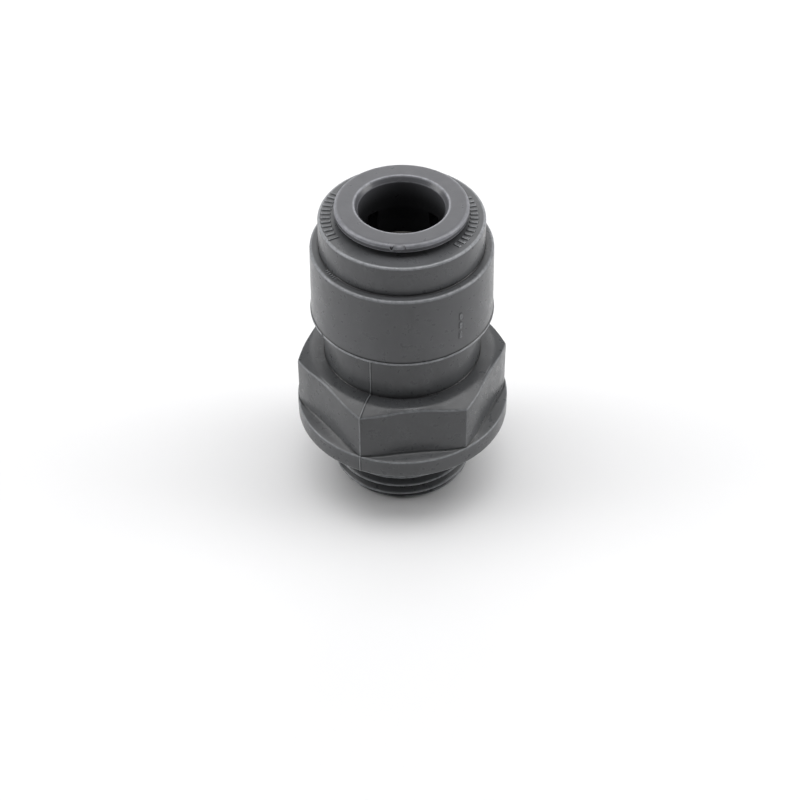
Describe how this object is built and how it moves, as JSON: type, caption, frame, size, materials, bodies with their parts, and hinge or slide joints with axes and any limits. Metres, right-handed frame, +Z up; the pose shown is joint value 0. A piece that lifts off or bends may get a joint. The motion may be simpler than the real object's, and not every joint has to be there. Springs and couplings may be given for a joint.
{
  "type": "push to connect fitting",
  "caption": "Straight push-to-connect adaptor: round tube socket with a sliding release collet on top, spanner hexagon, sealing flange and male parallel pipe thread below.",
  "frame": {"origin": "centre of the thread's end face, on which the fitting stands", "axes": "+Z up the bore, from the thread to the tube socket; -Y is the side of the spanner flat that is turned 6.5 degrees"},
  "size_m": [0.0249, 0.0248, 0.0383],
  "materials": {
    "body_plastic": "satin grey moulding with a fine mould texture",
    "cap_plastic": "satin grey moulding",
    "collet_plastic": "satin grey moulding, polished inside the mouth",
    "tooth_steel": "stamped stainless steel",
    "seal_rubber": "black nitrile rubber",
    "ring_plastic": "plain moulded ring"
  },
  "bodies": {
    "fitting": {"body": "body_plastic", "cap": "cap_plastic", "tube_seal_lower": "seal_rubber", "seal_spacer": "ring_plastic", "tube_seal_upper": "seal_rubber", "backup_washer": "ring_plastic", "thread_seal": "seal_rubber"},
    "collet": {"release_collet": "collet_plastic", "gripping_tooth_1": "tooth_steel", "gripping_tooth_2": "tooth_steel", "gripping_tooth_3": "tooth_steel", "gripping_tooth_4": "tooth_steel"}
  },
  "joints": [
    {"name": "collet_slide", "type": "slide", "parent": "fitting", "child": "collet", "axis": [0, 0, 1], "range_m": [-0.00068, 0.0007]}
  ]
}
